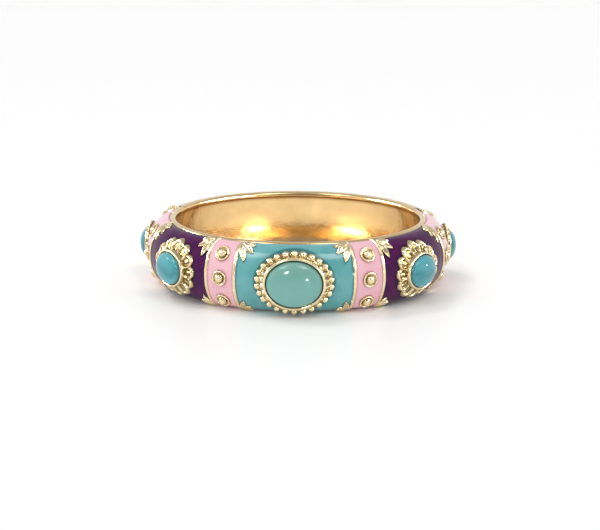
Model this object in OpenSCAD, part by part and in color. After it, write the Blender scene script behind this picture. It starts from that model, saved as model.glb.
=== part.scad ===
// Hinged bangle: a cast gilt front with enamel cells and cabochons, and a plain back gate.
// The band lies on its side, its axis upright. The front panel faces -Y and the hinge is at -X.

/* [Wrist opening] */
// Inside diameter of the closed bangle
opening_d = 57; // [54:0.5:64]

/* [Band section] */
// Height of the band
band_h = 15.2; // [14.8:0.1:16]
// Depth of the band from its inner edge to the crown of the face
band_t = 6.8; // [6.2:0.1:7.5]
// Radius of the domed face
face_r = 9.5; // [9:0.1:12]
// Height above the middle where the face turns into its shoulder
knee_z = 5.6; // [5.2:0.1:5.9]
// Width of the round rim
rim_w = 1.6; // [1.2:0.1:2]
// How far the enamel lies below the top of the rim
rim_step = 0.3; // [0.1:0.05:0.5]
// How far the inner wall is hollowed at half height
wall_hollow = 1.4; // [1:0.1:1.4]
// Depth of the slimmer gate at half height
gate_t = 3.6; // [3.4:0.1:4]

/* [Enamel cells] */
// Thickness of the enamel
enamel_t = 0.9; // [0.6:0.1:1.2]
// Room between pieces that are laid into each other
fit_gap = 0.04; // [0.02:0.01:0.1]
// Width of the ridge between two cells
ridge_w = 0.9; // [0.6:0.1:1.4]
// How far a ridge stands over the enamel
ridge_up = 0.25; // [0.15:0.05:0.3]
// Angle from the front to the first ridge, where the front panel ends
front_end = 21.5; // [20.5:0.5:22]
// Angle to the second ridge, where the inner pink band ends
inner_band_end = 33; // [32.5:0.5:33.5]
// Angle to the third ridge, where the purple panel ends
flower_end = 71.5; // [70:0.5:72]
// Angle where the outer pink panel ends, before the seam
side_end = 104.1; // [104:0.1:104.2]
// Angle to the seam between the front and the gate
seam_at = 107.5; // [107.5:0.5:109]

/* [Front setting] */
// Length of the front cabochon
front_stone_l = 12; // [10:0.5:12.5]
// Height of the front cabochon
front_stone_h = 10; // [8:0.5:10.5]
// Wall of its bezel
front_bezel_w = 0.9; // [0.8:0.1:1.2]
// How far the bezel stands over the crown
front_bezel_up = 1.3; // [1:0.1:1.8]
// How far the dome stands over the crown
front_dome_up = 3.2; // [2.5:0.1:4]
// Diameter of the beads round the bezel
front_bead_d = 1.4; // [1.2:0.1:1.5]
// Number of beads round the bezel
front_beads = 26; // [20:1:28]

/* [Flower settings] */
// Angle from the front to the middle of each flower
flower_at = 50.5; // [50:0.5:53]
// Length of a flower's cabochon
flower_stone_l = 9; // [8:0.1:9.2]
// Height of a flower's cabochon
flower_stone_h = 7.2; // [6:0.1:7.4]
// How far a flower's bezel stands over the crown
flower_bezel_up = 1.2; // [0.8:0.1:1.6]
// How far its dome stands over the crown
flower_dome_up = 2.8; // [2.2:0.1:3.4]
// Half the length of the whole flower
flower_half_l = 7.4; // [7:0.1:7.6]
// Half the height of the whole flower
flower_half_h = 6.5; // [6:0.1:6.6]
// Number of petals
petals = 13; // [11:1:15]
// How far the petals stand over the enamel
petal_up = 0.6; // [0.4:0.1:0.8]

/* [Side settings] */
// Angle from the front to the outer row of studs
outer_studs_at = 77.3; // [77:0.1:77.5]
// Angle from the front to each side stone
side_at = 95.6; // [95:0.1:95.6]
// Diameter of a side cabochon
side_stone_d = 7.2; // [6.6:0.1:7.2]
// How far a side dome stands over the crown
side_dome_up = 2.5; // [2:0.1:2.8]
// Number of beads round a side bezel
side_beads = 24; // [18:1:26]
// Diameter of those beads
side_bead_d = 0.9; // [0.8:0.1:0.9]

/* [Studs and leaves] */
// Outer diameter of a stud's ring
stud_d = 3.4; // [3:0.1:3.6]
// Diameter of a stud's ball
stud_ball_d = 1.9; // [1.6:0.1:2.2]
// Angle up the face from one stud to the next
stud_step = 33; // [30:1:35]
// Length of a corner leaf
leaf_l = 3.1; // [2.4:0.1:3.4]
// Width of a corner leaf
leaf_w = 1.3; // [0.9:0.05:1.4]
// How far the leaves stand over the enamel
leaf_up = 0.4; // [0.3:0.05:0.6]

/* [Hinge and clasp] */
// Distance of the hinge axis from the inner edge
hinge_in = 3.4; // [3.3:0.1:3.6]
// Outer radius of the hinge knuckles
knuckle_r = 1.3; // [1.2:0.05:1.4]
// Radius of the hinge pin
pin_r = 0.5; // [0.4:0.05:0.6]
// Height of the hinge barrel
barrel_h = 14.2; // [12:0.1:14.2]
// Length of the clasp tongue past the seam
tongue_l = 3.5; // [3:0.5:4]
// Thickness of the clasp tongue
tongue_t = 1; // [0.8:0.1:1.1]
// Height of the clasp tongue
tongue_h = 5; // [4:0.5:6]

/* [Hidden] */
$fn = 96;

gold = "#e0bd74";
turquoise = "#5cb1c1";
pink = "#f3bfd3";
purple = "#4f1a4d";
aqua = "#83bdb3";
teal = "#57a7b6";

in_r = opening_d / 2;

// The face arc and the shoulder arc that runs into it at the knee
face_x = band_t - face_r;
knee_a = asin(knee_z / face_r);
shoulder_r = (band_h / 2 - rim_step - knee_z) / (1 - sin(knee_a));
shoulder_c = [face_x, 0] + (face_r - shoulder_r) * [cos(knee_a), sin(knee_a)];
wall_r = (pow(band_h / 2, 2) + wall_hollow * wall_hollow) / (2 * wall_hollow);

// Room at the seam and round the barrel, where both halves end
seam_gap = 0.15;
set_back = knuckle_r + 0.3;
knuckle_gap = 0.12;
gate_knuckle_h = 5;
bore_r = pin_r + 0.05;
pin_head_r = 0.85;
pin_head_h = 0.35;
pin_end_gap = 0.05;
web_t = 1.4;
web_in = 0.3;

// The setting of the front stone
seat_down = 0.3;
collar_down = 0.5;
collar_up = 0.15;
collar_out = 0.1;
girdle_down = 0.3;
bezel_room = 0.06;
front_axes = [front_stone_l, front_stone_h] / 2;
bezel_axes = front_axes + front_bezel_w * [1, 1];
bead_axes = bezel_axes + [1, 0.4];

flower_axes = [flower_stone_l, flower_stone_h] / 2;
flower_bezel_w = 0.9;
side_bezel_w = 0.6;
side_bezel_up = 0.7;
side_collar_down = 0.3;
petal_r = 1.4;
petal_join = 0.2;
root_in = 2.2;
flower_reach = 16;
face_steps = 11;
seam_turn = 11;
enamel_stop = 91;
rim_flat_a = 15;
lip_end_a = 200;
lip_h = 1.3;
stud_up = 0.35;
stud_wire = 0.45;
stud_ball_down = 0.1;
leaf_tilt = 38;
leaf_root = [0.25, 1.25];
leaf_turns = [6, 46, 86];
web_l = set_back + 0.15;
gate_corner = 1.4;
gate_crown = 0.4;
clasp_in = 2.45;
slot_room = 0.35;
tongue_root = 3;
deep = 2.4;
far = 30;

// Where the whole part stands, so that its box is centred
shift_y = (band_t + front_dome_up - gate_t) / 2;

function band_point(a, out) = (in_r + out) * [sin(a), -cos(a)];

// Angle that a length covers on the crown of the face
function turn_of(length) = length / (in_r + band_t) * 180 / PI;

// Sweeps a section round the band from one angle to another
module sweep(from, to) {
    rotate(from - 90) rotate_extrude(angle = to - from, $fn = 180) translate([in_r, 0]) children();
}

// Puts the children on the face, local Z outward, at an angle from the front and an angle up the face
module on_face(a, up = 0) {
    translate(concat(band_point(a, face_x), 0))
        rotate([90, 0, a])
            rotate([-up, 0, 0])
                translate([0, 0, face_r])
                    children();
}

module placed() {
    translate([0, shift_y, band_h / 2]) children();
}

function arc(centre, r, from, to, steps) =
    [for (k = [0 : steps])
        centre + r * [cos(from + (to - from) * k / steps), sin(from + (to - from) * k / steps)]];
function flip(points) = [for (k = [len(points) - 1 : -1 : 0]) [points[k][0], -points[k][1]]];
function back(points) = [for (k = [len(points) - 1 : -1 : 0]) points[k]];

// The upper shoulder, grown or shrunk evenly
function shoulder_line(grow, top) = arc(shoulder_c, shoulder_r + grow, knee_a, top, 5);

// The whole face, from the bottom to the top
function face_line(grow, top = 90) = concat(flip(shoulder_line(grow, top)),
    [for (k = [1 : face_steps - 1]) [face_x, 0] + (face_r + grow) * [cos(knee_a * (2 * k / face_steps - 1)),
        sin(knee_a * (2 * k / face_steps - 1))]], shoulder_line(grow, top));

// The round rim above the face, from the face over its narrow flat and round to the inner wall
function rim_line(grow) =
    let (r = rim_w / 2, centre = [r, band_h / 2 - r * cos(rim_flat_a)])
    concat(arc(centre, r, asin((r * cos(rim_flat_a) - rim_step + grow) / r), 90 - rim_flat_a, 3),
        arc(centre, r, 90 + rim_flat_a, lip_end_a, 4));

// The hollowed inner wall, from the top to the bottom
function wall_line() =
    let (end = asin((band_h / 2 - lip_h) / wall_r)) arc([wall_hollow - wall_r, 0], wall_r, end, -end, 8);

// Section of the band with the rims and the hollowed wall
module band_section(grow) {
    polygon(concat(face_line(grow), rim_line(grow), wall_line(), flip(rim_line(grow))));
}

// Half of the gate's section above the middle: a slightly crowned face, a round corner and the rim
function gate_line() =
    let (knee = band_h / 2 - gate_corner, r = rim_w / 2)
    concat([for (k = [1, 3, 5]) [gate_t - gate_crown * k * k / 25, knee * k / 5]],
        arc([gate_t - gate_crown - gate_corner, knee], gate_corner, 12, 90, 5),
        arc([r, band_h / 2 - r * cos(rim_flat_a)], r, 90 + rim_flat_a, lip_end_a, 4));

// The whole section of the gate
module gate_section() {
    polygon(concat(gate_line(), wall_line(), flip(gate_line())));
}

// Section of what stands on the band, rooted under the rim
module skin_section(grow) {
    top = band_h / 2 - rim_step + grow;
    polygon(concat([[rim_w / 2, -top]], face_line(grow), [[rim_w / 2, top]]));
}

module enamel_section() {
    polygon(concat(face_line(0, enamel_stop), back(face_line(fit_gap - enamel_t, enamel_stop))));
}

// Section under a smooth dome, for what is cast on the face clear of the rims
module dome_section(grow) {
    intersection() {
        translate([face_x, 0]) circle(face_r + grow);
        translate([root_in, -band_h / 2]) square([far, band_h]);
    }
}

// A disc whose outline starts clear of the middle plane
module disc(r) {
    rotate(seam_turn) circle(r);
}

module oval(axes) {
    scale([axes[0] / axes[1], 1]) disc(axes[1]);
}

function on_oval(axes, t) = [axes[0] * cos(t), axes[1] * sin(t)];

// A post of the children's outline, from inside the frame up to a height over the crown
module post(up) {
    translate([0, 0, -deep]) linear_extrude(deep + up) children();
}

function bead_turn(k, count) = 360 * (k + 0.5) / count;

module bead_ring(axes, count, d) {
    for (k = [0 : count - 1])
        translate(concat(on_oval(axes, bead_turn(k, count)), 0))
            rotate(seam_turn + bead_turn(k, count)) sphere(d / 2);
}

// The collar that carries a ring of beads, and the beads
module beaded_collar(axes, down, count, d) {
    post(collar_up - down) oval(axes + collar_out * [1, 1]);
    translate([0, 0, -down]) bead_ring(axes, count, d);
}

// An upright girdle with a dome on it
module cabochon(axes, bottom, girdle, top) {
    translate([0, 0, bottom]) linear_extrude(girdle - bottom) oval(axes);
    intersection() {
        translate([0, 0, girdle]) scale([axes[0], axes[1], top - girdle]) sphere(1);
        translate([-far, -far, girdle]) cube(2 * far);
    }
}

// The scalloped outline of a flower, one petal pointing to the front panel
module flower_outline(side, grow = 0) {
    middles = [flower_half_l, flower_half_h] - petal_r * [1, 1];
    oval(middles - petal_join * [1, 1]);
    for (k = [0 : petals - 1])
        translate(on_oval(-side * middles, 360 * k / petals)) rotate(seam_turn) circle(petal_r + grow);
}

module leaf_outline(length, width) {
    r = (length * length + width * width) / (4 * width);
    intersection() {
        translate([length / 2, r - width / 2]) circle(r);
        translate([length / 2, width / 2 - r]) circle(r);
    }
}

// Three leaves from a corner of a cell. side is 1 where the cell lies after the ridge, end is 1 at the top.
module corner_leaves(a, side, end, grow = 0) {
    on_face(a, end * leaf_tilt) for (k = [0 : 2])
        translate([0, 0, -deep]) linear_extrude(deep + leaf_up + 3 * grow)
            scale([side, end]) translate(leaf_root) rotate(-leaf_turns[k])
                translate([-grow, 0]) leaf_outline(leaf_l + 2 * grow, leaf_w + 2 * grow);
}

// The leaves at the far corners of an outer pink panel
module end_leaves(side, grow = 0) {
    for (end = [-1, 1]) corner_leaves(side * (side_end + turn_of(ridge_w / 2)), -side, end, grow);
}

// The leaves in all four corners of a cell
module cell_leaves(from, to, grow = 0) {
    for (end = [-1, 1]) {
        corner_leaves(from, 1, end, grow);
        corner_leaves(to, -1, end, grow);
    }
}

// A ball in a raised ring
module stud() {
    difference() {
        post(stud_up) disc(stud_d / 2);
        linear_extrude(far) disc(stud_d / 2 - stud_wire);
    }
    translate([0, 0, -stud_ball_down]) rotate(2 * seam_turn) sphere(stud_ball_d / 2);
}

module ridge(a) {
    half = turn_of(ridge_w) / 2;
    sweep(a - half, a + half) skin_section(ridge_up);
}

module front_setting() {
    post(front_bezel_up) oval(bezel_axes);
    beaded_collar(bead_axes, collar_down, front_beads, front_bead_d);
}

module flower_setting() {
    post(flower_bezel_up) oval(flower_axes + flower_bezel_w * [1, 1]);
}

module side_setting() {
    r = side_stone_d / 2 + side_bezel_w;
    post(side_bezel_up) disc(r);
    beaded_collar([1, 1] * (r + side_bead_d / 2), side_collar_down, side_beads, side_bead_d);
}

module seat(axes) {
    translate([0, 0, -seat_down]) linear_extrude(far) oval(axes + bezel_room * [1, 1]);
}

// Everything that is raised in the cells
module frame_relief() {
    on_face(0) front_setting();
    cell_leaves(-front_end, front_end);
    for (side = [-1, 1]) {
        on_face(side * flower_at) flower_setting();
        intersection() {
            sweep(side * flower_at - flower_reach, side * flower_at + flower_reach) dome_section(petal_up);
            on_face(side * flower_at) post(far) flower_outline(side);
        }
        corner_leaves(side * inner_band_end, side, 1);
        corner_leaves(side * inner_band_end, side, -1);
        corner_leaves(side * flower_end, -side, 1);
        corner_leaves(side * flower_end, -side, -1);
        end_leaves(side);
        on_face(side * side_at) side_setting();
        for (a = [(front_end + inner_band_end) / 2, outer_studs_at], k = [-1, 0, 1])
            on_face(side * a, k * stud_step) stud();
    }
}

module knuckle(from, to, toward) {
    translate([0, 0, from]) linear_extrude(to - from) circle(knuckle_r);
    translate([-web_t / 2 - web_in, toward > 0 ? 0 : -web_l, from]) cube([web_t, web_l, to - from]);
}

// Puts the children on the hinge axis, local X outward from the band and local Y from the front to the gate
module at_hinge() {
    translate(concat(band_point(-seam_at, hinge_in), 0)) rotate(-90 - seam_at) mirror([0, 1, 0]) children();
}

// Room that both halves leave round the barrel
module barrel_cove() {
    translate([0, 0, -far]) linear_extrude(2 * far) circle(set_back);
}

module pin_bore() {
    translate([0, 0, -far]) cylinder(h = 2 * far, r = bore_r);
}

// The clasp's own axes: x straight out from the band, y along it toward the gate
module at_clasp() {
    translate(concat(band_point(seam_at, clasp_in), 0)) rotate(seam_at - 90) children();
}

// The slot for the tongue. It widens outward to its mouth, because the tip moves out as the gate swings.
module tongue_slot() {
    tip = band_point(seam_at, clasp_in) - tongue_l * [cos(seam_at), sin(seam_at)];
    arm = tip - band_point(-seam_at, hinge_in);
    lean = seam_at - 90 - atan(arm[1] / arm[0]);
    w = tongue_t / 2 + slot_room;
    deep = tongue_l + slot_room;
    high = tongue_h + 2 * slot_room;
    translate([0, 0, -high / 2]) linear_extrude(high)
        polygon([[-w, -deep], [w, -deep], [w + (deep + 2) * tan(lean), 2], [-w, 2]]);
}

module front_frame() {
    end = seam_at - turn_of(seam_gap);
    color(gold) placed() difference() {
        union() {
            difference() {
                union() {
                    sweep(-end, end) band_section(-enamel_t);
                    for (side = [-1, 1]) {
                        for (a = [front_end, inner_band_end, flower_end]) ridge(side * a);
                        sweep(side > 0 ? side_end : -end, side > 0 ? end : -side_end) skin_section(ridge_up);
                    }
                }
                at_hinge() barrel_cove();
            }
            frame_relief();
            at_hinge() for (z = [gate_knuckle_h / 2 + knuckle_gap, -barrel_h / 2])
                knuckle(z, z + (barrel_h - gate_knuckle_h) / 2 - knuckle_gap, -1);
        }
        on_face(0) seat(front_axes);
        for (side = [-1, 1]) {
            on_face(side * flower_at) seat(flower_axes);
            on_face(side * side_at) seat([1, 1] * side_stone_d / 2);
        }
        at_hinge() pin_bore();
        at_clasp() tongue_slot();
    }
}

module back_gate() {
    start = seam_at + turn_of(seam_gap);
    color(gold) placed() difference() {
        union() {
            difference() {
                sweep(start, 360 - start) gate_section();
                at_hinge() barrel_cove();
            }
            at_hinge() knuckle(-gate_knuckle_h / 2, gate_knuckle_h / 2, 1);
        }
        at_hinge() pin_bore();
        at_clasp() translate([-tongue_t / 2 - fit_gap, -1, -tongue_h / 2 - fit_gap])
            cube([tongue_t + 2 * fit_gap, tongue_root + fit_gap + 1, tongue_h + 2 * fit_gap]);
    }
}

module hinge_pin() {
    reach = barrel_h / 2 + pin_end_gap;
    color(gold) placed() at_hinge() {
        translate([0, 0, -reach]) cylinder(h = 2 * reach, r = pin_r);
        for (z = [-reach - pin_head_h, reach]) translate([0, 0, z]) cylinder(h = pin_head_h, r = pin_head_r);
    }
}

module clasp_tongue() {
    color(gold) placed() at_clasp() translate([-tongue_t / 2, -tongue_l, -tongue_h / 2])
        cube([tongue_t, tongue_l + tongue_root, tongue_h]);
}

// The enamel between two angles, with the room that the children take out of it
module enamel(from, to, tint) {
    color(tint) placed() difference() {
        sweep(from, to) enamel_section();
        children();
    }
}

module enamel_front() {
    half = turn_of(ridge_w / 2 + fit_gap);
    enamel(half - front_end, front_end - half, turquoise) {
        on_face(0) post(far) {
            oval(bead_axes + (collar_out + fit_gap) * [1, 1]);
            for (k = [0 : front_beads - 1])
                translate(on_oval(bead_axes, bead_turn(k, front_beads))) rotate(4 * seam_turn)
                    circle(front_bead_d / 2 + fit_gap);
        }
        cell_leaves(-front_end, front_end, fit_gap);
    }
}

// The room that a row of studs takes out of the enamel
module stud_room(a) {
    for (k = [-1, 0, 1]) on_face(a, k * stud_step) post(far) disc(stud_d / 2 + fit_gap);
}

module enamel_pink_inner(side) {
    half = turn_of(ridge_w / 2 + fit_gap);
    ends = side > 0 ? [front_end, inner_band_end] : [-inner_band_end, -front_end];
    enamel(ends[0] + half, ends[1] - half, pink) stud_room((ends[0] + ends[1]) / 2);
}

module enamel_purple(side) {
    half = turn_of(ridge_w / 2 + fit_gap);
    ends = side > 0 ? [inner_band_end, flower_end] : [-flower_end, -inner_band_end];
    enamel(ends[0] + half, ends[1] - half, purple) {
        on_face(side * flower_at) post(far) flower_outline(side, fit_gap);
        cell_leaves(ends[0], ends[1], fit_gap);
    }
}

module enamel_pink_outer(side) {
    inner = flower_end + turn_of(ridge_w / 2 + fit_gap);
    outer = side_end - turn_of(fit_gap);
    enamel(side > 0 ? inner : -outer, side > 0 ? outer : -inner, pink) {
        stud_room(side * outer_studs_at);
        on_face(side * side_at) post(far) disc(side_stone_d / 2 + side_bezel_w + side_bead_d + fit_gap);
        end_leaves(side, fit_gap);
    }
}

module enamel_pink_inner_left() { enamel_pink_inner(-1); }
module enamel_pink_inner_right() { enamel_pink_inner(1); }
module enamel_pink_outer_left() { enamel_pink_outer(-1); }
module enamel_pink_outer_right() { enamel_pink_outer(1); }
module enamel_purple_left() { enamel_purple(-1); }
module enamel_purple_right() { enamel_purple(1); }

module cabochon_front() {
    color(aqua) placed() on_face(0)
        cabochon(front_axes, fit_gap - seat_down, front_bezel_up - girdle_down, front_dome_up);
}

module flower_cabochon(side) {
    color(teal) placed() on_face(side * flower_at)
        cabochon(flower_axes, fit_gap - seat_down, flower_bezel_up - girdle_down, flower_dome_up);
}

module side_cabochon(side) {
    color(teal) placed() on_face(side * side_at)
        cabochon([1, 1] * side_stone_d / 2, fit_gap - seat_down, side_bezel_up - girdle_down, side_dome_up);
}

module cabochon_flower_left() { flower_cabochon(-1); }
module cabochon_flower_right() { flower_cabochon(1); }
module cabochon_side_left() { side_cabochon(-1); }
module cabochon_side_right() { side_cabochon(1); }

front_frame();
back_gate();
hinge_pin();
clasp_tongue();
enamel_front();
enamel_pink_inner_left();
enamel_pink_inner_right();
enamel_purple_left();
enamel_purple_right();
enamel_pink_outer_left();
enamel_pink_outer_right();
cabochon_front();
cabochon_flower_left();
cabochon_flower_right();
cabochon_side_left();
cabochon_side_right();
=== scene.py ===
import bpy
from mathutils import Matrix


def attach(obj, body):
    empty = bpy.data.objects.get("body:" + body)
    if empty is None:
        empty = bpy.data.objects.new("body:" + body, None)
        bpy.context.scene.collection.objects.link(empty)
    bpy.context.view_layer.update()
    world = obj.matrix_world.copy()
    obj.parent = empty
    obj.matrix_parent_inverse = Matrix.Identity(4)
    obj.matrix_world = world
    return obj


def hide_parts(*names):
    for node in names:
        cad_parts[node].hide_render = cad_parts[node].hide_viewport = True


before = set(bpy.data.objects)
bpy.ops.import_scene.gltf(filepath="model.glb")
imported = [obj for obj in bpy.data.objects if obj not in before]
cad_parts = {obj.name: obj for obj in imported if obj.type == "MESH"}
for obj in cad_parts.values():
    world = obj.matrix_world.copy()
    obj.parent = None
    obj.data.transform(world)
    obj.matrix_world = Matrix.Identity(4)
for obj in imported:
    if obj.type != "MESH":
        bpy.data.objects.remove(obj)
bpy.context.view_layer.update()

from math import asin, cos, pi, radians, sin

import bpy
import bmesh
import numpy as np
from mathutils import Matrix, Vector

print("stage 1: the frame is loaded")

# Sizes are in millimetres and angles in degrees, counted from the middle of the front.
band = {
    "opening": 57.0,
    "height": 15.2,
    "shadeAndStain": 6.8,
    "faceRadius": 9.5,
    "kneeHeight": 5.6,
    "rimWidth": 1.6,
    "rimStep": 0.3,
    "rimFlat": 15.0,
    "lipEnd": 200.0,
    "lipHeight": 1.3,
    "wallHollow": 1.4,
    "bedDepth": 0.9,
    "gateDepth": 3.6,
    "gateCorner": 1.4,
    "gateCrown": 0.4,
    "sideEnd": 104.1,
    "seam": 107.5,
    "seamGap": 0.15,
    "forward": 3.2,
}
cells = {"front": 21.5, "innerBand": 33.0, "flower": 71.5, "ridgeWidth": 0.7, "ridgeUp": 0.28}

innerR = band["opening"] / 2
crownR = innerR + band["shadeAndStain"]
halfH = band["height"] / 2
faceR = band["faceRadius"]
faceX = band["shadeAndStain"] - faceR
kneeA = asin(band["kneeHeight"] / faceR)
shoulderR = (halfH - band["rimStep"] - band["kneeHeight"]) / (1 - sin(kneeA))
shoulderX = faceX + (faceR - shoulderR) * cos(kneeA)
shoulderZ = (faceR - shoulderR) * sin(kneeA)
kneeS = faceR * kneeA
topS = kneeS + shoulderR * (pi / 2 - kneeA)
rimR = band["rimWidth"] / 2
rimZ = halfH - rimR * cos(radians(band["rimFlat"]))
wallR = (halfH ** 2 + band["wallHollow"] ** 2) / (2 * band["wallHollow"])


# A point of the band: an angle round it, a distance out from the wrist opening and a height over the middle.
def bandPoint(angle, out, height):
    a, r, z = np.broadcast_arrays(np.radians(angle), innerR + out, height)
    return np.stack([r * np.sin(a), band["forward"] - r * np.cos(a), z + halfH], -1)


# The face in section, by the length s along it from the middle: the face arc, then the tighter shoulder arc.
# The point is moved out by lift along the normal of the arc.
def facePoint(s, lift=0.0):
    s = np.asarray(s, float)
    way, t = np.sign(s), np.abs(s)
    onFace = t <= kneeS
    turn = np.where(onFace, t / faceR, kneeA + (np.minimum(t, topS) - kneeS) / shoulderR)
    radius = np.where(onFace, faceR, shoulderR)
    out = np.where(onFace, faceX, shoulderX) + (radius + lift) * np.cos(turn) - np.maximum(t - topS, 0)
    height = way * (np.where(onFace, 0.0, shoulderZ) + (radius + lift) * np.sin(turn))
    return out, height


# Degrees round the band that a length on the crown of the face covers.
def angleOf(length):
    return np.degrees(length / crownR)


# Local axes at a place on the face: along the band, up the face, and straight out from it.
def localAxes(angle, tilt):
    a, t = radians(angle), radians(tilt)
    along = np.array([cos(a), sin(a), 0.0])
    level = np.array([sin(a), -cos(a), 0.0])
    upright = np.array([0.0, 0.0, 1.0])
    return along, cos(t) * upright - sin(t) * level, sin(t) * upright + cos(t) * level


# Puts local points (along, up, out over the crown) on the face at an angle and a tilt up the face.
def settle(points, angle, tilt=0.0):
    along, up, out = localAxes(angle, tilt)
    p = np.asarray(points, float)
    return bandPoint(angle, faceX, 0.0) + p[..., :1] * along + p[..., 1:2] * up + (p[..., 2:3] + faceR) * out


# Lays a flat pattern (x along the band, s up the face) round the band, raised by lift.
def wrapOn(angle, x, s, lift):
    out, height = facePoint(s, lift)
    return bandPoint(angle + angleOf(x), out, height)


# A shape is a stack of closed rings of points, joined by quads. Its ends are closed by caps, or joined to
# each other in a loop. Its painted shade is 0 on high places and 1 in hollows and along edges, where shade
# falls.
def ringShape(rings, paintedShade=0.0, loop=False):
    rings = np.asarray(rings, float)
    n, m = rings.shape[:2]
    i, j = np.meshgrid(np.arange(n if loop else n - 1), np.arange(m), indexing="ij")
    after, k = (i + 1) % n, (j + 1) % m
    quads = np.stack([i * m + j, i * m + k, after * m + k, after * m + j], -1).reshape(-1, 4)
    caps = [] if loop else [list(range(m))[::-1], list(range((n - 1) * m, n * m))]
    shade = np.broadcast_to(np.asarray(paintedShade, float), (n, m)).reshape(-1)
    return {"points": rings.reshape(-1, 3), "faces": quads.tolist() + caps, "paintedShade": shade}


meshing = {"sharpFrom": 38.0, "mergeWithin": 2e-7, "speckUnder": 1e-8}  # degrees, metres, metres


def smoothFaces(mesh):
    mesh.shade_smooth()
    mesh.set_sharp_from_angle(angle=radians(meshing["sharpFrom"]))


# Makes the object in metres, merges what meets, turns the faces outwards and keeps sharp edges sharp.
def makeObject(name, shapes):
    faces, start = [], 0
    for shape in shapes:
        faces += [[v + start for v in face] for face in shape["faces"]]
        start += len(shape["points"])
    points = np.concatenate([shape["points"] for shape in shapes])
    paintedShade = np.concatenate([shape["paintedShade"] for shape in shapes])
    mesh = bpy.data.meshes.new(name)
    mesh.from_pydata((points / 1000).tolist(), [], faces)
    mesh.attributes.new("paintedShade", "FLOAT", "POINT").data.foreach_set("value", paintedShade.astype(np.float32))
    form = bmesh.new()
    form.from_mesh(mesh)
    bmesh.ops.remove_doubles(form, verts=form.verts, dist=meshing["mergeWithin"])
    bmesh.ops.dissolve_degenerate(form, edges=form.edges, dist=meshing["speckUnder"])
    bmesh.ops.recalc_face_normals(form, faces=form.faces)
    form.to_mesh(mesh)
    form.free()
    smoothFaces(mesh)
    made = bpy.data.objects.new(name, mesh)
    bpy.context.scene.collection.objects.link(made)
    return made


# Cuts the cutter's form out of the pieces and removes the cutter.
def cutOut(pieces, cutter):
    for piece in pieces:
        cut = piece.modifiers.new("cut", "BOOLEAN")
        cut.operation, cut.solver, cut.object = "DIFFERENCE", "EXACT", cutter
        mesh = bpy.data.meshes.new_from_object(piece.evaluated_get(bpy.context.evaluated_depsgraph_get()))
        piece.modifiers.clear()
        old, piece.data = piece.data, mesh
        bpy.data.meshes.remove(old)
        mesh.name = piece.name
        smoothFaces(mesh)
    bpy.data.objects.remove(cutter)


def dressPiece(piece, material, body, node):
    piece.data.materials.clear()
    piece.data.materials.append(material)
    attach(piece, body)
    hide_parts(node)


def hexColour(code):
    srgb = [int(code[i:i + 2], 16) / 255 for i in (1, 3, 5)]
    return [c / 12.92 if c <= 0.04045 else ((c + 0.055) / 1.055) ** 2.4 for c in srgb] + [1.0]


# Adds a node. settings are its own values or its inputs' values, and links are what feeds its inputs.
def addNode(tree, kind, settings=None, links=None):
    node = tree.nodes.new(kind)
    for key, value in (settings or {}).items():
        if isinstance(key, str) and hasattr(node, key):
            setattr(node, key, value)
        else:
            node.inputs[key].default_value = value
    for key, source in (links or {}).items():
        tree.links.new(source, node.inputs[key])
    return node


def startMaterial(name):
    material = bpy.data.materials.new(name)
    material.use_nodes = True
    material.node_tree.nodes.clear()
    return material, material.node_tree


def endMaterial(tree, shader):
    addNode(tree, "ShaderNodeOutputMaterial", links={"Surface": shader.outputs[0]})


# Spots per metre for spots of a real size in millimetres.
def scaleFor(millimetres):
    return 1000 / millimetres


# Noise of a real size, with one range of its values spread over another range.
def cloudRange(tree, place, size, detail, fromTo, into):
    cloud = addNode(tree, "ShaderNodeTexNoise", {"Scale": scaleFor(size), "Detail": detail},
                    {"Vector": place})
    spread = {"From Min": fromTo[0], "From Max": fromTo[1], "To Min": into[0], "To Max": into[1]}
    return addNode(tree, "ShaderNodeMapRange", spread, {"Value": cloud.outputs["Fac"]}).outputs["Result"]


# Mixes two colours, each a hex code or a node's output.
def mixColours(tree, share, first, second):
    mix = addNode(tree, "ShaderNodeMix", {"data_type": "RGBA"}, {0: share})
    for socket, colour in ((6, first), (7, second)):
        if isinstance(colour, str):
            mix.inputs[socket].default_value = hexColour(colour)
        else:
            tree.links.new(colour, mix.inputs[socket])
    return mix.outputs[2]


# Ripples of a real size and height, both in millimetres.
def bumpOf(tree, place, size, strength, height):
    grain = addNode(tree, "ShaderNodeTexNoise", {"Scale": scaleFor(size), "Detail": 2.0}, {"Vector": place})
    return addNode(tree, "ShaderNodeBump", {"Strength": strength, "Distance": height / 1000},
                   {"Height": grain.outputs["Fac"]}).outputs["Normal"]


plate = {"stainSize": 3.0, "stain": 0.15, "dullSize": 2.0, "rippleSize": 0.9, "rippleHeight": 0.08}


# Pale gold plate over cast brass, polished on a wheel: bright warm reflections, with olive brown painted
# shade in the hollows, along edges and under things.
def goldPlate(name, high, low, roughness, ripple):
    material, tree = startMaterial(name)
    place = addNode(tree, "ShaderNodeTexCoord").outputs["Object"]
    hollow = addNode(tree, "ShaderNodeAttribute", {"attribute_name": "paintedShade"}).outputs["Fac"]
    stain = cloudRange(tree, place, plate["stainSize"], 3.0, (0.35, 0.75), (0.0, plate["stain"]))
    # Painted shade and random stains together set the colour between high and low.
    shadeAndStain = addNode(tree, "ShaderNodeMath", {"operation": "ADD", "use_clamp": True}, {0: hollow, 1: stain})
    colour = mixColours(tree, shadeAndStain.outputs[0], high, low)
    dull = cloudRange(tree, place, plate["dullSize"], 2.0, (0.3, 0.7), (roughness - 0.04, roughness + 0.06))
    waves = bumpOf(tree, place, plate["rippleSize"], ripple, plate["rippleHeight"])
    shader = addNode(tree, "ShaderNodeBsdfPrincipled", {"Metallic": 1.0},
                     {"Base Color": colour, "Roughness": dull, "Normal": waves})
    endMaterial(tree, shader)
    return material


glassySkin = {"coatRoughness": 0.06, "rippleSize": 2.2, "ripple": 0.25, "rippleHeight": 0.12}
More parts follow.
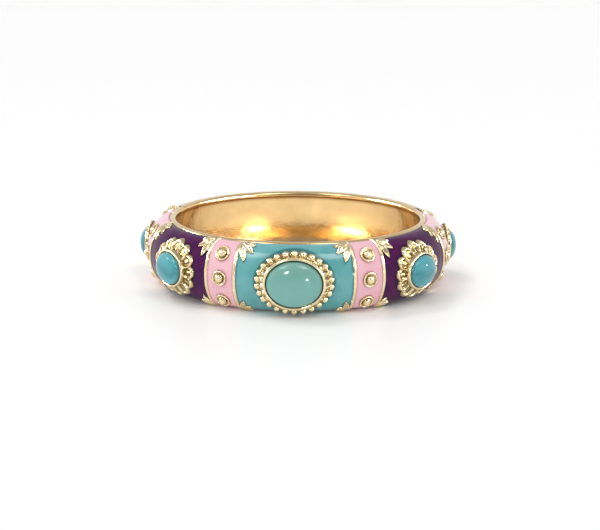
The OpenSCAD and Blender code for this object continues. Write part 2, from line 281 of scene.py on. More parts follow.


# Enamel, poured and polished: a glassy skin over a colour that clouds from place to place, with painted
# shade along the metal.
def pouredEnamel(name, light, dark, shadeColour, cloudSize, contrast, roughness, coat, gloss=0.5):
    material, tree = startMaterial(name)
    place = addNode(tree, "ShaderNodeTexCoord").outputs["Object"]
    cloud = cloudRange(tree, place, cloudSize, 4.0, (0.5 - contrast, 0.5 + contrast), (0.0, 1.0))
    edge = addNode(tree, "ShaderNodeAttribute", {"attribute_name": "paintedShade"}).outputs["Fac"]
    colour = mixColours(tree, edge, mixColours(tree, cloud, dark, light), shadeColour)
    waves = bumpOf(tree, place, glassySkin["rippleSize"], glassySkin["ripple"], glassySkin["rippleHeight"])
    shader = addNode(tree, "ShaderNodeBsdfPrincipled",
                     {"Roughness": roughness, "IOR": 1.5, "Specular IOR Level": gloss, "Coat Weight": coat,
                      "Coat Roughness": glassySkin["coatRoughness"]},
                     {"Base Color": colour, "Normal": waves})
    endMaterial(tree, shader)
    return material


# The bands of painted sheen run between these heights.
paintedSheenBands = {"from": 2.6, "to": 12.6}  # heights over the floor, in millimetres


# A cast resin cabochon with a painted silky sheen: the colour changes in soft bands up the stone, by height
# over the floor, and painted shade darkens it at the girdle. drift is how far the bands wander, in
# millimetres.
def resinStone(name, sheenBands, shadeColour, cloudSize, drift, glow):
    material, tree = startMaterial(name)
    place = addNode(tree, "ShaderNodeTexCoord").outputs["Object"]
    rise = addNode(tree, "ShaderNodeSeparateXYZ", links={0: place}).outputs["Z"]
    wander = cloudRange(tree, place, cloudSize, 3.0, (0.3, 0.7), (-drift / 1000, drift / 1000))
    height = addNode(tree, "ShaderNodeMath", {"operation": "ADD"}, {0: rise, 1: wander})
    span = {"From Min": paintedSheenBands["from"] / 1000, "From Max": paintedSheenBands["to"] / 1000}
    share = addNode(tree, "ShaderNodeMapRange", span, {"Value": height.outputs[0]})
    ramp = addNode(tree, "ShaderNodeValToRGB", links={0: share.outputs["Result"]})
    stops = ramp.color_ramp.elements
    while len(stops) < len(sheenBands):
        stops.new(0.5)
    for stop, (at, code) in zip(stops, sheenBands):
        stop.position, stop.color = at, hexColour(code)
    edge = addNode(tree, "ShaderNodeAttribute", {"attribute_name": "paintedShade"}).outputs["Fac"]
    shader = addNode(tree, "ShaderNodeBsdfPrincipled",
                     {"Roughness": 0.12, "IOR": 1.5, "Subsurface Weight": glow, "Subsurface Scale": 0.001,
                      "Subsurface Radius": (0.6, 1.0, 1.0), "Coat Weight": 0.3, "Coat Roughness": 0.03},
                     {"Base Color": mixColours(tree, edge, ramp.outputs["Color"], shadeColour)})
    endMaterial(tree, shader)
    return material


# The second colour of each gold is the olive colour of its painted shade.
gold = goldPlate("polishedGoldPlate", "#f7e5bb", "#7f6533", 0.17, 0.35)
wallGold = goldPlate("wheelPolishedGoldPlate", "#e6ca97", "#95642a", 0.15, 0.25)
# The third colour of each enamel is its painted shade along the metal.
turquoiseEnamel = pouredEnamel("turquoiseEnamel", "#68aeb1", "#549fa2", "#2a7275", cloudSize=4.0,
                               contrast=0.2, roughness=0.16, coat=0.35)
pinkEnamel = pouredEnamel("pinkEnamel", "#f3c1cb", "#edb4c0", "#cd8c9b", cloudSize=5.0, contrast=0.25,
                          roughness=0.2, coat=0.3)
purpleEnamel = pouredEnamel("purpleEnamel", "#54154f", "#3e0f44", "#14040f", cloudSize=2.5, contrast=0.16,
                            roughness=0.2, coat=0.02, gloss=0.12)
# The stones' colour bands are painted sheen; the last colour is the painted shade at the girdle.
aquaResin = resinStone("milkyAquaResin", [(0.0, "#7bb5ae"), (0.5, "#73aea6"), (1.0, "#7bab9e")], "#2f5d52",
                       cloudSize=5.0, drift=0.9, glow=0.3)
tealResin = resinStone("silkyTealResin", [(0.0, "#57b0bb"), (0.3, "#50a6b1"), (0.5, "#388a94"),
                                          (0.64, "#489ea7"), (1.0, "#5aaeb6")], "#1e5358",
                       cloudSize=4.0, drift=1.2, glow=0.15)

print("stage 2: the materials are made")


def arcPoints(centre, radius, fromA, toA, steps):
    a = np.radians(np.linspace(fromA, toA, steps))
    return np.column_stack([centre[0] + radius * np.cos(a), centre[1] + radius * np.sin(a)])


# The rim's inner lip and the hollowed wall under it, from the top of the rim to the middle.
def lipAndWall():
    fromA = np.degrees(asin((halfH - band["lipHeight"]) / wallR))
    lip = arcPoints((rimR, rimZ), rimR, 90 + band["rimFlat"], band["lipEnd"], 10)
    return np.concatenate([lip, arcPoints((band["wallHollow"] - wallR, 0.0), wallR, fromA, 0.0, 20)])


# The upper half of the cast front's section: the bed under the enamel, then the rim and the wall.
def frontHalfSection():
    deep, knee = band["bedDepth"], np.degrees(kneeA)
    fromA = np.degrees(asin((halfH - band["rimStep"] - deep - rimZ) / rimR))
    return np.concatenate([arcPoints((faceX, 0.0), faceR - deep, 0, knee, 16)[:-1],
                           arcPoints((shoulderX, shoulderZ), shoulderR - deep, knee, 90, 10),
                           arcPoints((rimR, rimZ), rimR, fromA, 90 - band["rimFlat"], 10), lipAndWall()])


# The upper half of the slimmer gate's section: a slightly crowned face and a round corner.
def gateHalfSection():
    corner = band["gateCorner"]
    knee = halfH - corner
    z = np.linspace(0, knee, 12)
    face = np.column_stack([band["gateDepth"] - band["gateCrown"] * (z / knee) ** 2, z])
    centre = (band["gateDepth"] - band["gateCrown"] - corner, knee)
    return np.concatenate([face, arcPoints(centre, corner, 7, 90, 12), lipAndWall()])


# Sweeps a section and its mirror image below the middle round the band. Painted shade lies under the lips, on
# the inner wall.
def sweptBody(upper, angles):
    section = np.concatenate([upper, (upper * [1, -1])[::-1][1:-1]])
    underLipShade = np.exp(-((np.abs(section[:, 1]) - rimZ + 0.5) / 0.45) ** 2)
    inside = section[:, 0] < band["wallHollow"]
    return ringShape(bandPoint(angles[:, None], section[:, 0], section[:, 1]), paintedShade=underLipShade * inside)


seamTurn = angleOf(band["seamGap"])
frontAngles = np.linspace(-band["seam"] + seamTurn, band["seam"] - seamTurn, 241)
gateAngles = np.linspace(band["seam"] + seamTurn, 360 - band["seam"] - seamTurn, 161)
frontBody = makeObject("frontBody", [sweptBody(frontHalfSection(), frontAngles)])
gateBody = makeObject("gateBody", [sweptBody(gateHalfSection(), gateAngles)])

hinge = {"into": 3.4, "knuckle": 1.3, "cove": 1.6, "coveReach": 12, "barrel": 14.2, "gateKnuckle": 5.0,
         "gap": 0.12, "webWidth": 1.4, "webIn": 0.3, "webLength": 1.75, "ease": 0.12}


# Puts points (out from the band, from the front to the gate, up) on the hinge axis.
def atHinge(points):
    a = radians(-band["seam"])
    outward = np.array([sin(a), -cos(a), 0.0])
    toGate = np.array([-cos(a), -sin(a), 0.0])
    p = np.asarray(points, float)
    axis = bandPoint(-band["seam"], hinge["into"], 0.0)
    return axis + p[..., :1] * outward + p[..., 1:2] * toGate + p[..., 2:3] * np.array([0.0, 0.0, 1.0])


# An outline (x, y) carried up through rows of (height, how far it is drawn in).
def risingShape(outline, rows, place):
    outline = np.asarray(outline, float)
    rings = [np.column_stack([outline * (1 - draw), np.full(len(outline), z)]) for z, draw in rows]
    return ringShape(place(np.array(rings)))


def circlePoints(radius, steps):
    return arcPoints((0.0, 0.0), radius, 0, 360, steps + 1)[:-1]


# The round room for the hinge's barrel.
def coveCutter():
    rows = [(-hinge["coveReach"], 0), (hinge["coveReach"], 0)]
    return makeObject("coveCutter", [risingShape(circlePoints(hinge["cove"], 48), rows, atHinge)])


cutOut([frontBody, gateBody], coveCutter())


# The slot is in the front and the seat in the gate. Each cutter goes past the seam, by slotPast or seatPast.
clasp = {"into": 2.45, "slotWidth": 1.7, "slotHeight": 5.7, "slotDepth": 3.85, "slotPast": 2.0, "lean": 20.9,
         "seatWidth": 1.08, "seatHeight": 5.08, "seatDepth": 3.04, "seatPast": 1.0}


# A prism between two heights, from an outline (out from the band, along it) at the clasp.
def claspPrism(name, outline, height):
    a = radians(band["seam"])
    out, along = np.array([sin(a), -cos(a), 0.0]), np.array([cos(a), sin(a), 0.0])
    flat = np.array([x * out + y * along for x, y in outline]) + bandPoint(band["seam"], clasp["into"], 0.0)
    return makeObject(name, [ringShape(np.array([flat + [0.0, 0.0, z] for z in (-height / 2, height / 2)]))])


# The slot widens outward to its mouth, because the tongue's tip moves out as the gate swings.
def slotCutter():
    half, deep, past = clasp["slotWidth"] / 2, clasp["slotDepth"], clasp["slotPast"]
    mouth = half + (deep + past) * np.tan(radians(clasp["lean"]))
    outline = [(-half, -deep), (half, -deep), (mouth, past), (-half, past)]
    return claspPrism("slotCutter", outline, clasp["slotHeight"])


def seatCutter():
    half, deep, past = clasp["seatWidth"] / 2, clasp["seatDepth"], clasp["seatPast"]
    outline = [(-half, -past), (half, -past), (half, deep), (-half, deep)]
    return claspPrism("seatCutter", outline, clasp["seatHeight"])


cutOut([frontBody], slotCutter())
cutOut([gateBody], seatCutter())


# The knuckles between two heights, with the web that joins them to their half. way is 1 for the gate. They
# have no bore here, so the pin runs through them inside the barrel.
def knuckleShapes(low, high, way):
    ease = hinge["ease"]
    rows = [(low, 0.1), (low + ease * 0.3, 0.03), (low + ease, 0.0),
            (high - ease, 0.0), (high - ease * 0.3, 0.03), (high, 0.1)]
    half, long = hinge["webWidth"] / 2, hinge["webLength"] * way
    web = [[x - hinge["webIn"], y] for x, y in ((-half, 0.0), (half, 0.0), (half, long), (-half, long))]
    return [risingShape(circlePoints(hinge["knuckle"], 40), rows, atHinge),
            risingShape(web, [(low + 0.05, 0.0), (high - 0.05, 0.0)], atHinge)]


frontLow = hinge["gateKnuckle"] / 2 + hinge["gap"]
frontKnuckles = makeObject("frontKnuckles", knuckleShapes(frontLow, hinge["barrel"] / 2, -1)
                           + knuckleShapes(-hinge["barrel"] / 2, -frontLow, -1))
gateKnuckle = makeObject("gateKnuckle", knuckleShapes(-hinge["gateKnuckle"] / 2, hinge["gateKnuckle"] / 2, 1))

print("stage 3: the band and its hinge are made")


# A rounded bar across the face: its section is half a flattened round, carried from rim to rim.
def ridgeShape(angle, width, up):
    s = np.linspace(-topS, topS, 61)[:, None]
    t = np.linspace(0, 2 * pi, 25)[:-1][None, :]
    x = width / 2 * np.sign(np.cos(t)) * np.abs(np.cos(t)) ** 0.7
    lift = np.where(np.sin(t) > 0, up * np.abs(np.sin(t)) ** 0.8, 0.6 * np.sin(t))
    x, s, lift = np.broadcast_arrays(x, s, lift)
    # Painted shade: the bar darkens down its sides and underneath; its top is bright.
    return ringShape(wrapOn(angle, x, s, lift), paintedShade=np.clip(0.35 - lift / up * 0.5, 0, 0.5))


ridges = [ridgeShape(side * cells[name], cells["ridgeWidth"], cells["ridgeUp"])
          for side in (-1, 1) for name in ("front", "innerBand", "flower")]

# Three leaves in each corner. The turns are from the rim downwards, and in the lower corners the lengths are
# multiplied by lower.
leaves = {"lengths": (3.6, 4.3, 5.0), "turns": (12.0, 40.0, 72.0), "lower": 0.82, "width": 1.7, "up": 0.42,
          "root": (0.1, 1.0)}
leafEnds = angleOf(cells["ridgeWidth"] / 2)
corners = [(-cells["front"], 1), (cells["front"], -1), (-cells["innerBand"], -1), (cells["innerBand"], 1),
           (-cells["flower"], 1), (cells["flower"], -1), (-band["sideEnd"] - leafEnds, 1),
           (band["sideEnd"] + leafEnds, -1)]


# A leaf's half width swells and narrows along it as a power of a sine.
def leafHalfWidth(p):
    return leaves["width"] / 2 * np.sin(pi * np.clip(p, 0, 1) ** 0.8) ** 0.6


# A pointed leaf. Its edges and its middle rib are raised round hollows, which short side ribs cross.
def leafShape(angle, side, end, length, turn):
    p = np.linspace(0, 1, 23)[:, None]
    t = np.linspace(0, 2 * pi, 41)[:-1][None, :]
    half = leafHalfWidth(p)
    q = np.cos(t)
    raised = np.maximum(np.exp(-((np.abs(q) - 0.76) / 0.24) ** 2), 0.9 * np.exp(-(q / 0.2) ** 2))
    ribs = 0.22 * np.clip(np.cos(7 * pi * (p + 0.3 * np.abs(q))), 0, 1)
    swell = np.clip(np.sin(pi * p), 0, 1) ** 0.3
    over = leaves["up"] * swell * (0.5 + 0.5 * np.maximum(raised, ribs)) * np.abs(np.sin(t)) ** 0.35
    lift = np.where(np.sin(t) > 0, over, -0.25 * swell * np.abs(np.sin(t)))
    a = radians(turn)
    x = leaves["root"][0] + length * p * cos(a) - half * q * sin(a) + cells["ridgeWidth"] / 2
    s = topS - leaves["root"][1] - length * p * sin(a) - half * q * cos(a)
    x, s, lift = np.broadcast_arrays(x, s, lift)
    # Painted shade: the hollows between the raised edges and the middle rib are darker, the underside darker
    # still.
    shade = np.where(np.sin(t) > 0, np.clip(0.45 - raised - 0.5 * ribs, 0, 1), 0.8)
    return ringShape(wrapOn(angle, side * x, end * s, lift), paintedShade=shade)


leafShapes = [leafShape(angle, side, end, share * length, turn)
              for angle, side in corners for end, share in ((-1, leaves["lower"]), (1, 1.0))
              for length, turn in zip(leaves["lengths"], leaves["turns"])]

studs = {"ring": 3.35, "wire": 0.34, "ball": 2.1, "ballDown": 0.1, "up": 0.35, "groove": 0.12, "root": 0.6,
         "step": 33.0, "rows": ((cells["front"] + cells["innerBand"]) / 2, 77.3)}


# A profile of (radius past the half sizes, height) turned round a place on the face.
def turnedShape(profile, shade, angle, tilt=0.0, half=(0.0, 0.0), steps=48, loop=False):
    profile = np.asarray(profile, float)
    t = np.linspace(0, 2 * pi, steps + 1)[:-1][None, :]
    r, w = profile[:, :1], profile[:, 1:2]
    rings = np.stack([(r + half[0]) * np.cos(t), (r + half[1]) * np.sin(t), w + 0 * t], -1)
    return ringShape(settle(rings, angle, tilt), paintedShade=np.asarray(shade, float)[:, None] + 0 * t, loop=loop)


# The ball, the groove round it, the ring and its outer wall, from the middle outwards.
def studShape(angle, tilt):
    ballR, wire, low = studs["ball"] / 2, studs["wire"] / 2, studs["groove"]
    middle = studs["ring"] / 2 - wire
    profile = np.concatenate([arcPoints((0.0, -studs["ballDown"]), ballR, 90, 11, 12),
                              [[ballR + 0.02, low], [middle - wire, low]],
                              arcPoints((middle, studs["up"] - wire), wire, 190, -10, 11),
                              [[studs["ring"] / 2, -studs["root"]], [0.0, -studs["root"]]]])
    # Painted shade: the ball darkens down its side into the groove, the groove is dark, the ring's top bright
    # and its outer foot dark.
    shade = np.concatenate([np.clip(np.linspace(-0.8, 0.9, 12), 0, 1), [0.55, 0.45, 0.2, 0.05], np.zeros(7),
                            [0.1, 0.4, 0.8, 0.8]])
    return turnedShape(profile, shade, angle, tilt, steps=40)


studShapes = [studShape(side * angle, tilt * studs["step"])
              for side in (-1, 1) for angle in studs["rows"] for tilt in (-1, 0, 1)]

frontStone = {"at": 0.0, "half": (6.0, 5.0), "bezel": 0.7, "bezelUp": 1.15, "domeUp": 3.2,
              "beads": 26, "bead": 1.4, "beadHalf": (7.9, 6.3), "beadDown": 0.5}
flowerStone = {"at": 50.5, "half": (4.5, 3.6), "bezel": 0.5, "bezelUp": 1.1, "domeUp": 2.8}
sideStone = {"at": 95.6, "half": (3.6, 3.6), "bezel": 0.6, "bezelUp": 0.7, "domeUp": 2.5,
             "beads": 24, "bead": 0.9, "beadHalf": (4.65, 4.65), "beadDown": 0.3}
bezelWall = {"gap": 0.05, "lip": 0.35, "root": 1.6}


# A rounded bezel wall round a stone, from its foot outside over the lip and down inside.
def bezelShape(stone, angle):
    wide, up = stone["bezel"] / 2, stone["bezelUp"]
    gap, rise, root = bezelWall["gap"], bezelWall["lip"], bezelWall["root"]
    lip = arcPoints((gap + wide, 0.0), wide, 0, 180, 13)
    lip[:, 1] = up - rise + lip[:, 1] * rise / wide
    foot = [[gap + 2 * wide + 0.1, -root], [gap + 2 * wide + 0.06, -0.2]]
    profile = np.concatenate([foot, lip, [[gap, -root]]])
    # Painted shade: darker down the outer foot and down the inner side to the stone; the lip is bright.
    shade = np.concatenate([[0.8, 0.7, 0.35, 0.1], np.zeros(8), [0.3, 0.6, 0.9, 1.0]])
    return turnedShape(profile, shade, angle, half=stone["half"], steps=80, loop=True)


# Balls of one size round an oval.
def beadShapes(stone, angle):
    t = (np.arange(stone["beads"]) + 0.5) / stone["beads"] * 2 * pi
    places = np.column_stack([stone["beadHalf"][0] * np.cos(t), stone["beadHalf"][1] * np.sin(t),
                              np.full(len(t), -stone["beadDown"])])
    polar = np.linspace(0, pi, 11)[:, None]
    turn = np.linspace(0, 2 * pi, 17)[:-1][None, :]
    ball = np.stack([np.sin(polar) * np.cos(turn), np.sin(polar) * np.sin(turn),
                     np.cos(polar) + 0 * turn], -1)
    # Painted shade on the part of each ball toward the face it sits on.
    shade = np.clip((polar / pi - 0.38) * 3.5, 0, 1) + 0 * turn
    return [ringShape(settle(ball * stone["bead"] / 2 + place, angle), paintedShade=shade) for place in places]


# The collar's section. The columns are the share of the way from the bezel out to the beads, the height of
# the top and the depth of the flutes.
collarRows = np.array([(0.0, -2.0, 0.0), (0.0, 0.38, 0.0), (0.2, 0.45, 0.22), (0.45, 0.48, 0.28),
                       (0.7, 0.4, 0.26), (0.9, 0.2, 0.12), (1.0, -0.1, 0.0), (1.0, -2.0, 0.0)])


# The collar under the beads: a plate whose top is fluted round the stone, as many times as there are beads.
def collarShape(stone, angle):
    t = np.linspace(0, 2 * pi, stone["beads"] * 8 + 1)[:-1][None, :]
    share, top, flute = collarRows[:, :1], collarRows[:, 1:2] - stone["beadDown"], collarRows[:, 2:3]
    half = [stone["half"][k] + stone["bezel"] / 2 for k in (0, 1)]
    x, y = [half[k] + (stone["beadHalf"][k] + 0.1 - half[k]) * share for k in (0, 1)]
    wave = np.cos(stone["beads"] * t)
    rings = np.stack([x * np.cos(t), y * np.sin(t), top - flute * (0.5 + 0.5 * wave)], -1)
    # Painted shade in the flutes, darkest where each is deepest.
    shade = np.clip(0.3 + 0.5 * wave + 0 * share, 0, 1)
    return ringShape(settle(rings, angle), paintedShade=shade, loop=True)


# The dome of a cabochon: an upright girdle and half an ellipsoid on it. The girdle gets painted shade from
# the bezel.
def stoneShape(stone, angle):
    girdle = stone["bezelUp"] - 0.3
    t = np.linspace(0, pi / 2, 29)
    share = np.concatenate([[0.0, 1.0], np.cos(t)])[:, None]
    w = np.concatenate([[-0.26, -0.26], girdle + (stone["domeUp"] - girdle) * np.sin(t)])[:, None]
    turn = np.linspace(0, 2 * pi, 81)[:-1][None, :]
    rings = np.stack([stone["half"][0] * share * np.cos(turn), stone["half"][1] * share * np.sin(turn),
                      w + 0 * turn], -1)
    shade = np.concatenate([[1.0, 1.0], np.clip(1.25 - t / 0.3, 0, 1)])[:, None] + 0 * turn
    return ringShape(settle(rings, angle), paintedShade=shade)


petals = {"count": 13, "half": (7.4, 6.5), "radius": 1.46, "up": 0.62, "line": 0.15, "tip": 0.1, "ribs": 2.6}


# The middle of a petal and the way it points, in the plane of the flower. One petal points to the front.
def petalPlace(side, k):
    a = 2 * pi * k / petals["count"] + (pi if side > 0 else 0.0)
    way = np.array([cos(a), sin(a)])
    return way * (np.array(petals["half"]) - petals["radius"]), way


# One petal: rings from its middle out to its scalloped edge and down into the enamel. A raised line runs
# inside the edge, ribs run outwards across the hollow, and the whole follows the dome of the face.
def petalShape(angle, side, k):
    rho = np.array([0.0, 0.14, 0.28, 0.42, 0.54, 0.63, 0.7, 0.76, 0.82, 0.88, 0.93, 0.97, 1.0, 1.0])[:, None]
    drop = np.array([0.0] * 11 + [0.12, 0.4, 0.9])[:, None]
    t = np.linspace(0, 2 * pi, 49)[:-1][None, :]
    r = petals["radius"]
    across = r * rho * np.sin(t)
    outward = r * rho * np.cos(t) * np.where(np.cos(t) < 0, 1.3, 1.0)
    tip = petals["tip"] * np.clip(np.cos(t), 0, 1)
    line = np.exp(-((rho - 0.83 + 0.6 * tip) / (petals["line"] + tip)) ** 2)
    towardStone = np.clip(-outward / (1.3 * r), 0, 1) ** 1.5
    ribs = np.clip(np.cos(across / r * (petals["ribs"] + 0.4) * pi), 0, 1) ** 0.7
    rib = ribs * np.clip(1.5 - rho / 0.5, 0, 1)
    lift = petals["up"] * (0.34 + 0.7 * line + 0.26 * rib + 0.6 * towardStone) - drop
    # Painted shade in the petal's hollow; the raised line and the ribs are bright.
    shade = np.clip(1.0 - 1.2 * line - 0.7 * rib, 0, 1) + 0 * t
    middle, way = petalPlace(side, k)
    x = middle[0] + outward * way[0] - across * way[1]
    y = middle[1] + outward * way[1] + across * way[0]
    reach = np.sqrt((faceR + lift) ** 2 - y ** 2) + faceX + innerR
    along, up, level = localAxes(angle, 0.0)
    centre = np.array([0.0, band["forward"], halfH])
    outwards = np.sqrt(reach ** 2 - x ** 2)
    rings = centre + x[..., None] * along + y[..., None] * up + outwards[..., None] * level
    return ringShape(rings, paintedShade=shade)


settings = [bezelShape(frontStone, 0.0), collarShape(frontStone, 0.0)] + beadShapes(frontStone, 0.0)
flowers = []
for side in (-1, 1):
    flowers.append(bezelShape(flowerStone, side * flowerStone["at"]))
    flowers += [petalShape(side * flowerStone["at"], side, k) for k in range(petals["count"])]
    at = side * sideStone["at"]
    settings += [bezelShape(sideStone, at), collarShape(sideStone, at)] + beadShapes(sideStone, at)

print("stage 4: the relief is worked out")


clearOf = 9.0  # so far from the relief nothing of it shows in the enamel


# How far a point of the face lies from the relief that stands in the enamel, in millimetres.
def reliefDistance(angles, s):
    far = np.full(np.broadcast(angles, s).shape, clearOf)
    y = faceR * np.sin(s / faceR)
    for side in (-1, 1):
        for stone in (frontStone, sideStone):
            x = crownR * np.sin(np.radians(angles - side * stone["at"]))
            half = [stone["beadHalf"][k] + 0.45 * stone["bead"] for k in (0, 1)]
            away = (np.hypot(x / half[0], y / half[1]) - 1) * half[1]
            far = np.minimum(far, np.where(np.abs(angles - side * stone["at"]) < 30, away, clearOf))
        x = crownR * np.sin(np.radians(angles - side * flowerStone["at"]))
        for k in range(petals["count"]):
            middle = petalPlace(side, k)[0]
            far = np.minimum(far, np.hypot(x - middle[0], y - middle[1]) - petals["radius"])
        for angle in studs["rows"]:
            x = crownR * np.radians(angles - side * angle)
            for tilt in (-1, 0, 1):
                rise = faceR * radians(tilt * studs["step"])
                far = np.minimum(far, np.hypot(x, s - rise) - studs["ring"] / 2)
    for angle, side in corners:
        x = side * np.radians(angles - angle) * crownR - leaves["root"][0] - cells["ridgeWidth"] / 2
        for end, share in ((-1, leaves["lower"]), (1, 1.0)):
            y = topS - leaves["root"][1] - end * s
            for length, turn in zip(leaves["lengths"], leaves["turns"]):
                a = radians(turn)
                p = (x * cos(a) + y * sin(a)) / (share * length)
                beside = np.abs(y * cos(a) - x * sin(a)) - leafHalfWidth(p)
                past = np.maximum(np.maximum(p - 1, -p), 0) * share * length
                far = np.minimum(far, np.hypot(np.maximum(beside, 0), past))
    return far


# A stretch of the face between two angles, with a back under it at the same heights.
def faceSheet(angles, s, lift, paintedShade):
    out, z = facePoint(s + 0 * angles, lift)
    under = np.minimum(facePoint(s, -0.7)[0], out - 0.05)[:, ::-8]
    rings = bandPoint(angles, np.concatenate([out, under], 1), np.concatenate([z, z[:, ::-8]], 1))
    return ringShape(rings, paintedShade=np.concatenate([paintedShade, paintedShade[:, ::-8]], 1))


# A cell of enamel between two angles. It climbs a little where it was poured against the ridges.
def enamelShape(fromA, toA):
    edge = angleOf(cells["ridgeWidth"] / 2 - 0.1)
    angles = np.linspace(fromA + edge, toA - edge, int((toA - fromA) * 3.5))[:, None]
    s = np.linspace(-topS, topS, 97)[None, :]
    toRidge = np.radians(np.minimum(angles - fromA, toA - angles)) * crownR - cells["ridgeWidth"] / 2
    # Painted shade where the enamel meets the ridges, the rims and the relief, fading within about half a
    # millimetre.
    near = np.maximum(np.minimum(np.minimum(toRidge, topS - 0.1 - np.abs(s)), reliefDistance(angles, s)), 0)
    return faceSheet(angles, s, 0.09 * np.exp(-np.maximum(toRidge, 0) / 0.25), np.exp(-(near / 0.26) ** 2))


outerEnd = band["sideEnd"] + leafEnds
enamels = {
    "enamel_front": (-cells["front"], cells["front"], turquoiseEnamel, "turquoise_enamel"),
    "enamel_pink_inner_left": (-cells["innerBand"], -cells["front"], pinkEnamel, "pink_enamel"),
    "enamel_pink_inner_right": (cells["front"], cells["innerBand"], pinkEnamel, "pink_enamel"),
    "enamel_purple_left": (-cells["flower"], -cells["innerBand"], purpleEnamel, "purple_enamel"),
    "enamel_purple_right": (cells["innerBand"], cells["flower"], purpleEnamel, "purple_enamel"),
    "enamel_pink_outer_left": (-outerEnd, -cells["flower"], pinkEnamel, "pink_enamel"),
    "enamel_pink_outer_right": (cells["flower"], outerEnd, pinkEnamel, "pink_enamel"),
}
for node, (fromA, toA, material, slotName) in enamels.items():
    piece = makeObject(node.replace("enamel", "poured"), [enamelShape(fromA, toA)])
    dressPiece(piece, material, "front_half", node)


# The gold strip between a side panel and the seam.
def stripShape(side):
    angles = side * np.linspace(band["sideEnd"] - 0.2, band["seam"] - seamTurn, 13)[:, None]
    s = np.linspace(-topS, topS, 65)[None, :]
    return faceSheet(angles, s, 0.25, 0.2 + 0 * s * angles)


strips = makeObject("endStrips", [stripShape(side) for side in (-1, 1)])
cutOut([strips], coveCutter())

for piece, material, body, node in ((frontBody, wallGold, "front_half", "front_frame"),
                                    (frontKnuckles, gold, "front_half", "front_frame"),
                                    (strips, gold, "front_half", "front_frame"),
                                    (gateBody, wallGold, "gate", "back_gate"),
                                    (gateKnuckle, gold, "gate", "back_gate")):
    dressPiece(piece, material, body, node)
reliefs = [makeObject(name, shapes) for name, shapes in (("ridges", ridges), ("cornerLeaves", leafShapes),
                                                         ("studs", studShapes), ("beadedSettings", settings),
                                                         ("flowerSettings", flowers))]
for piece in reliefs:
    dressPiece(piece, gold, "front_half", "front_frame")

stones = {"cabochon_front": (frontStone, 1, aquaResin, "aqua_cabochon"),
          "cabochon_flower_left": (flowerStone, -1, tealResin, "teal_cabochon"),
          "cabochon_flower_right": (flowerStone, 1, tealResin, "teal_cabochon"),
          "cabochon_side_left": (sideStone, -1, tealResin, "teal_cabochon"),
          "cabochon_side_right": (sideStone, 1, tealResin, "teal_cabochon")}
flowerStones = []
for node, (stone, side, material, slotName) in stones.items():
    piece = makeObject(node.replace("cabochon", "stone"), [stoneShape(stone, side * stone["at"])])
    dressPiece(piece, material, "front_half", node)
    if stone is flowerStone:
        flowerStones.append(piece)

for node in ("hinge_pin", "clasp_tongue"):
    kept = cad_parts[node]
    kept.data.materials.clear()
    kept.data.materials.append(gold)

print("stage 5: the pieces are dressed")

view = {"turn": 1.0895, "rise": 14.237, "away": 322.36, "lens": 81.3, "sensor": 36.0, "shiftX": 0.0042,
        "shiftY": 0.0205, "roll": 0.331}


# A direction from an azimuth, counted from the front to the right, and a rise over the floor.
def direction(azimuth, rise):
    a, e = radians(azimuth), radians(rise)
    return Vector((sin(a) * cos(e), -cos(a) * cos(e), sin(e)))


def makeCamera():
    away = direction(view["turn"], view["rise"])
    data = bpy.data.cameras.new("camera")
    data.lens, data.sensor_width = view["lens"], view["sensor"]
    data.shift_x, data.shift_y = view["shiftX"], view["shiftY"]
    data.clip_start, data.clip_end = 0.01, 50.0
    camera = bpy.data.objects.new("camera", data)
    bpy.context.scene.collection.objects.link(camera)
    roll = Matrix.Rotation(radians(view["roll"]), 4, "Z")
    turned = away.to_track_quat("Z", "Y").to_matrix().to_4x4() @ roll
    lookAt = Vector((0.0, band["forward"], 0.0))
    camera.matrix_world = Matrix.Translation((lookAt + away * view["away"]) / 1000) @ turned
    bpy.context.scene.camera = camera


lightAim = Vector((0.0, 0.0, 0.01))  # the lights point here, in metres
lampAway = 0.9


def linkLight(name, data, way, distance):
    light = bpy.data.objects.new(name, data)
    light.location = way * distance + lightAim
    light.rotation_euler = way.to_track_quat("Z", "Y").to_euler()
    bpy.context.scene.collection.objects.link(light)
    return light


# Broad soft light, left out of the reflections, which show the room instead.
def addWindow(name, azimuth, rise, strength, breadth):
    data = bpy.data.lights.new(name, "SUN")
    data.energy, data.angle = strength, radians(breadth)
    linkLight(name, data, direction(azimuth, rise), 1.0).visible_glossy = False


# A lamp of a width and a height in metres and a power in watts. INCLUDE lights only the pieces, and EXCLUDE
# everything but them.
def addLamp(name, azimuth, rise, width, height, power, pieces, piecesAre):
    data = bpy.data.lights.new(name, "AREA")
    data.shape, data.size, data.size_y, data.energy = "ELLIPSE", width, height, power
    lit = bpy.data.collections.new(name + "Lit")
    for piece in pieces:
        lit.objects.link(piece)
    for linked in lit.collection_objects:
        linked.light_linking.link_state = piecesAre
    linkLight(name, data, direction(azimuth, rise), lampAway).light_linking.receiver_collection = lit


def makeFloor():
    reach = 6.0
    outline = [(-reach, -reach, 0), (reach, -reach, 0), (reach, reach, 0), (-reach, reach, 0)]
    mesh = bpy.data.meshes.new("floor")
    mesh.from_pydata(outline, [], [(0, 1, 2, 3)])
    floor = bpy.data.objects.new("floor", mesh)
    bpy.context.scene.collection.objects.link(floor)
    material, tree = startMaterial("whiteSweep")
    shader = addNode(tree, "ShaderNodeBsdfPrincipled",
                     {"Base Color": (0.93, 0.93, 0.93, 1.0), "Roughness": 0.35, "Specular IOR Level": 0.25,
                      "Emission Color": (1.0, 1.0, 1.0, 1.0), "Emission Strength": 0.04})
    endMaterial(tree, shader)
    floor.data.materials.append(material)


# Each spot is an azimuth, a rise, the two angles between which it fades, and an amount.
studio = {
    "low": 1.05,
    "high": 0.6,
    "dark": (0.0, 6.0, 20.0, 60.0, 0.6),
    "panels": ((-50.0, 54.0, 4.0, 14.0, 4.5), (38.0, 56.0, 4.0, 14.0, 4.5)),
}


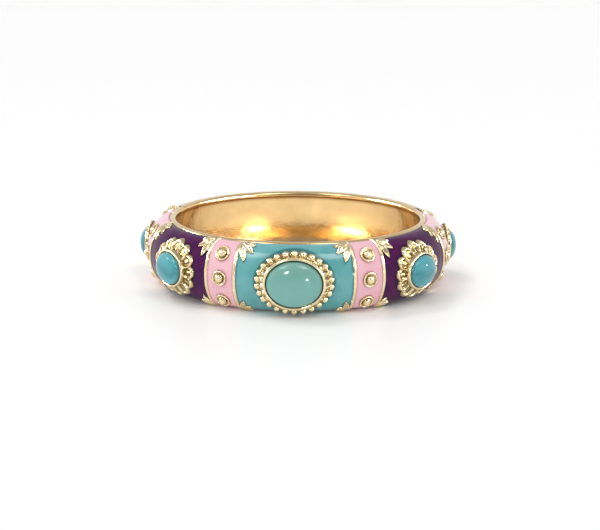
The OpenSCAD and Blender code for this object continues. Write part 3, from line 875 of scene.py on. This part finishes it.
# A white room: brightest low down, dimmer overhead and round the camera, with two soft panels above.
def makeWorld():
    world = bpy.data.worlds.new("studio")
    bpy.context.scene.world = world
    world.use_nodes = True
    tree = world.node_tree
    tree.nodes.clear()
    place = addNode(tree, "ShaderNodeTexCoord").outputs["Generated"]

    def spotOf(azimuth, rise, inner, outer, amount):
        middle = tuple(direction(azimuth, rise))
        dot = addNode(tree, "ShaderNodeVectorMath", {"operation": "DOT_PRODUCT", 1: middle}, {0: place})
        fade = {"interpolation_type": "SMOOTHSTEP", "From Min": cos(radians(outer)),
                "From Max": cos(radians(inner)), "To Min": 0.0, "To Max": amount}
        return addNode(tree, "ShaderNodeMapRange", fade, {"Value": dot.outputs["Value"]}).outputs["Result"]

    apart = addNode(tree, "ShaderNodeSeparateXYZ", links={0: place})
    fromFloor = {"From Min": -0.05, "From Max": 0.75, "To Min": studio["low"], "To Max": studio["high"]}
    light = addNode(tree, "ShaderNodeMapRange", fromFloor, {"Value": apart.outputs["Z"]})
    kept = addNode(tree, "ShaderNodeMath", {"operation": "SUBTRACT", 0: 1.0}, {1: spotOf(*studio["dark"])})
    total = addNode(tree, "ShaderNodeMath", {"operation": "MULTIPLY"},
                    {0: light.outputs["Result"], 1: kept.outputs[0]})
    for panel in studio["panels"]:
        total = addNode(tree, "ShaderNodeMath", {"operation": "ADD"},
                        {0: total.outputs[0], 1: spotOf(*panel)})
    shade = addNode(tree, "ShaderNodeBackground", {"Color": (1.0, 1.0, 1.0, 1.0)},
                    {"Strength": total.outputs[0]})
    addNode(tree, "ShaderNodeOutputWorld", links={"Surface": shade.outputs[0]})


makeCamera()
makeFloor()
makeWorld()
addWindow("window", -120.0, 60.0, 0.6, 16.0)

# The first two lamps give the points of light on the stones, the glints those on the flower stones, the
# patches the two pale places inside the ring in the photo, and the side lamps the shine on the reliefs.
walls = [frontBody, gateBody]
lamps = {
    "lampLeft": (-17.0, 25.0, 0.13, 0.13, 1.1, walls, "EXCLUDE"),
    "lampRight": (23.0, 4.0, 0.09, 0.09, 0.4, walls, "EXCLUDE"),
    "glintLeft": (-93.0, 30.0, 0.16, 0.12, 0.5, flowerStones, "INCLUDE"),
    "glintRight": (93.0, 8.0, 0.08, 0.06, 0.2, flowerStones, "INCLUDE"),
    "patchLeft": (-98.0, 22.0, 0.58, 0.14, 28.0, walls, "INCLUDE"),
    "patchRight": (78.0, 19.0, 1.0, 0.13, 30.0, walls, "INCLUDE"),
    "sideLeft": (-98.0, 22.0, 0.65, 0.18, 8.0, reliefs, "INCLUDE"),
    "sideRight": (78.0, 20.0, 1.0, 0.17, 8.0, reliefs, "INCLUDE"),
}
for name, values in lamps.items():
    addLamp(name, *values)
bpy.context.scene.view_settings.view_transform = "Standard"
print("stage 6: the stage is set")
